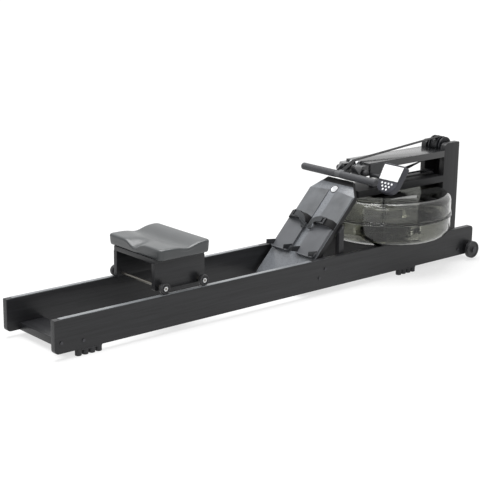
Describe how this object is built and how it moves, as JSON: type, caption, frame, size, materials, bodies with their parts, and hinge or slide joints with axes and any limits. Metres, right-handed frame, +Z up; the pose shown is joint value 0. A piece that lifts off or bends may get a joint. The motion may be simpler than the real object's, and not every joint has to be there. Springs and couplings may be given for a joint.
{
  "type": "water rowing machine",
  "caption": "Water rowing machine with wooden side rails, a rolling saddle seat, an inclined footboard with heel cups and straps, a clear water tank and a strap-driven handle.",
  "frame": {"origin": "on the floor, below the middle of the machine", "axes": "+X from the seat end to the tank end, +Z up, the middle plane of the rails at Y = 0"},
  "size_m": [2.102, 0.552, 0.508],
  "materials": {
    "wood_black": "black-stained, satin lacquered",
    "deck_wood": "black-stained, glossy lacquered",
    "board_face": "dark grey, glossy",
    "track_plastic": "satin strip",
    "zinc_steel": "zinc plated",
    "black_rubber": "matt",
    "plate_plastic": "grained",
    "heel_plastic": "satin",
    "webbing": "woven",
    "buckle_plastic": "satin",
    "tank_clear": "clear, lightly smoked",
    "gasket_rubber": "matt",
    "tank_water": "clear liquid",
    "moulded_black": "satin",
    "cord_fabric": "braided sleeve",
    "axle_steel": "turned",
    "arm_metal": "satin black",
    "paddle_plastic": "moulded",
    "handle_bar": "black",
    "handle_foam": "soft grip",
    "case_plastic": "fine grain",
    "bezel_plastic": "gloss",
    "screen_window": "pale display behind a window",
    "button_white": "gloss",
    "seat_foam": "moulded skin, satin",
    "wheel_rubber": "satin"
  },
  "bodies": {
    "frame": {"rail_right": "wood_black", "rail_left": "wood_black", "seat_tracks": "track_plastic", "rear_spreader": "wood_black", "front_spreader": "wood_black", "tank_supports": "wood_black", "footboard": "board_face", "foot_supports": "wood_black", "post_right": "wood_black", "post_left": "wood_black", "top_deck": "deck_wood", "lower_shelf": "deck_wood", "handle_rests": "wood_black", "rest_knobs": "black_rubber", "frame_bolts": "zinc_steel", "rubber_feet": "black_rubber", "foot_plates": "plate_plastic", "foot_straps": "webbing", "strap_buckles": "buckle_plastic", "tank_lower": "tank_clear", "tank_upper": "tank_clear", "tank_gasket": "gasket_rubber", "water": "tank_water", "shaft_bearing": "moulded_black", "drive_strap": "webbing", "recoil_cord": "cord_fabric", "pulley_axle": "axle_steel", "monitor_arm": "arm_metal"},
    "handle": {"handle_core": "handle_bar", "handle_grip": "handle_foam", "handle_strap": "webbing"},
    "front_pulley": {"front_pulley": "moulded_black"},
    "drive_drum": {"drive_drum": "moulded_black"},
    "recoil_pulley": {"recoil_pulley": "moulded_black"},
    "impeller": {"impeller": "paddle_plastic", "impeller_shaft": "axle_steel"},
    "fill_plug": {"fill_plug": "black_rubber"},
    "heel_right": {"heel_plate_right": "heel_plastic"},
    "heel_left": {"heel_plate_left": "heel_plastic"},
    "monitor": {"monitor_case": "case_plastic", "monitor_bezel": "bezel_plastic", "monitor_lens": "screen_window"},
    "transport_wheel_right": {"transport_wheel_right": "wheel_rubber"},
    "transport_wheel_left": {"transport_wheel_left": "wheel_rubber"},
    "seat": {"seat_pad": "seat_foam", "seat_base": "wood_black", "carriage_sides": "wood_black", "carriage_axles": "axle_steel", "axle_nuts": "zinc_steel"},
    "seat_wheels_rear": {"seat_wheels_rear": "wheel_rubber"},
    "seat_wheels_front": {"seat_wheels_front": "wheel_rubber"},
    "button_1": {"button_1": "button_white"},
    "button_2": {"button_2": "button_white"},
    "button_3": {"button_3": "button_white"},
    "button_4": {"button_4": "button_white"},
    "button_5": {"button_5": "button_white"},
    "button_6": {"button_6": "button_white"},
    "button_7": {"button_7": "button_white"},
    "button_8": {"button_8": "button_white"},
    "button_9": {"button_9": "button_white"}
  },
  "joints": [
    {"name": "seat_slide", "type": "slide", "parent": "frame", "child": "seat", "axis": [1, 0, 0], "range_m": [-0.4, 0.48]},
    {"name": "seat_wheels_rear_roll", "type": "hinge", "parent": "seat", "child": "seat_wheels_rear", "pos_m": [-0.5895, 0, 0.1628], "axis": [0, 1, 0], "continuous": true},
    {"name": "seat_wheels_front_roll", "type": "hinge", "parent": "seat", "child": "seat_wheels_front", "pos_m": [-0.4165, 0, 0.1628], "axis": [0, 1, 0], "continuous": true},
    {"name": "handle_pull", "type": "slide", "parent": "frame", "child": "handle", "axis": [-1, 0, 0], "range_m": [0, 1.1], "stiffness_N_per_m": 15, "springref_m": -0.8, "deforming": ["handle_strap"]},
    {"name": "pulley_spin", "type": "hinge", "parent": "frame", "child": "front_pulley", "pos_m": [0.985, 0, 0.47], "axis": [0, 1, 0], "continuous": true},
    {"name": "drum_spin", "type": "hinge", "parent": "frame", "child": "drive_drum", "pos_m": [0.66006, 0, 0.38], "axis": [0, 0, 1], "continuous": true},
    {"name": "recoil_pulley_spin", "type": "hinge", "parent": "frame", "child": "recoil_pulley", "pos_m": [0.913, 0, 0.363], "axis": [0, 0, 1], "continuous": true},
    {"name": "impeller_spin", "type": "hinge", "parent": "frame", "child": "impeller", "pos_m": [0.66006, 0, 0.18], "axis": [0, 0, 1], "continuous": true},
    {"name": "fill_plug_lift", "type": "slide", "parent": "frame", "child": "fill_plug", "axis": [0, 0, 1], "range_m": [0, 0.03]},
    {"name": "heel_right_slide", "type": "slide", "parent": "frame", "child": "heel_right", "axis": [0.682, 0, 0.7314], "range_m": [-0.02, 0.05]},
    {"name": "heel_left_slide", "type": "slide", "parent": "frame", "child": "heel_left", "axis": [0.682, 0, 0.7314], "range_m": [-0.02, 0.05]},
    {"name": "monitor_tilt", "type": "hinge", "parent": "frame", "child": "monitor", "pos_m": [0.5053, -0.202, 0.41151], "axis": [0, 1, 0], "range_deg": [-20, 20]},
    {"name": "transport_right_spin", "type": "hinge", "parent": "frame", "child": "transport_wheel_right", "pos_m": [1.015, -0.182, 0.044], "axis": [0, 1, 0], "continuous": true},
    {"name": "transport_left_spin", "type": "hinge", "parent": "frame", "child": "transport_wheel_left", "pos_m": [1.015, 0.182, 0.044], "axis": [0, 1, 0], "continuous": true},
    {"name": "button_1_press", "type": "slide", "parent": "monitor", "child": "button_1", "axis": [0.8572, 0, -0.515], "range_m": [0, 0.0015], "stiffness_N_per_m": 300, "springref_m": -0.001},
    {"name": "button_2_press", "type": "slide", "parent": "monitor", "child": "button_2", "axis": [0.8572, 0, -0.515], "range_m": [0, 0.0015], "stiffness_N_per_m": 300, "springref_m": -0.001},
    {"name": "button_3_press", "type": "slide", "parent": "monitor", "child": "button_3", "axis": [0.8572, 0, -0.515], "range_m": [0, 0.0015], "stiffness_N_per_m": 300, "springref_m": -0.001},
    {"name": "button_4_press", "type": "slide", "parent": "monitor", "child": "button_4", "axis": [0.8572, 0, -0.515], "range_m": [0, 0.0015], "stiffness_N_per_m": 300, "springref_m": -0.001},
    {"name": "button_5_press", "type": "slide", "parent": "monitor", "child": "button_5", "axis": [0.8572, 0, -0.515], "range_m": [0, 0.0015], "stiffness_N_per_m": 300, "springref_m": -0.001},
    {"name": "button_6_press", "type": "slide", "parent": "monitor", "child": "button_6", "axis": [0.8572, 0, -0.515], "range_m": [0, 0.0015], "stiffness_N_per_m": 300, "springref_m": -0.001},
    {"name": "button_7_press", "type": "slide", "parent": "monitor", "child": "button_7", "axis": [0.8572, 0, -0.515], "range_m": [0, 0.0015], "stiffness_N_per_m": 300, "springref_m": -0.001},
    {"name": "button_8_press", "type": "slide", "parent": "monitor", "child": "button_8", "axis": [0.8572, 0, -0.515], "range_m": [0, 0.0015], "stiffness_N_per_m": 300, "springref_m": -0.001},
    {"name": "button_9_press", "type": "slide", "parent": "monitor", "child": "button_9", "axis": [0.8572, 0, -0.515], "range_m": [0, 0.0015], "stiffness_N_per_m": 300, "springref_m": -0.001}
  ],
  "couplings": [
    {"joint": "seat_wheels_rear_roll", "follows": "seat_slide", "rad_per_m": 50},
    {"joint": "seat_wheels_front_roll", "follows": "seat_slide", "rad_per_m": 50},
    {"joint": "pulley_spin", "follows": "handle_pull", "rad_per_m": -27.548},
    {"joint": "drum_spin", "follows": "handle_pull", "rad_per_m": 35.336},
    {"joint": "recoil_pulley_spin", "follows": "handle_pull", "rad_per_m": 35.336}
  ]
}
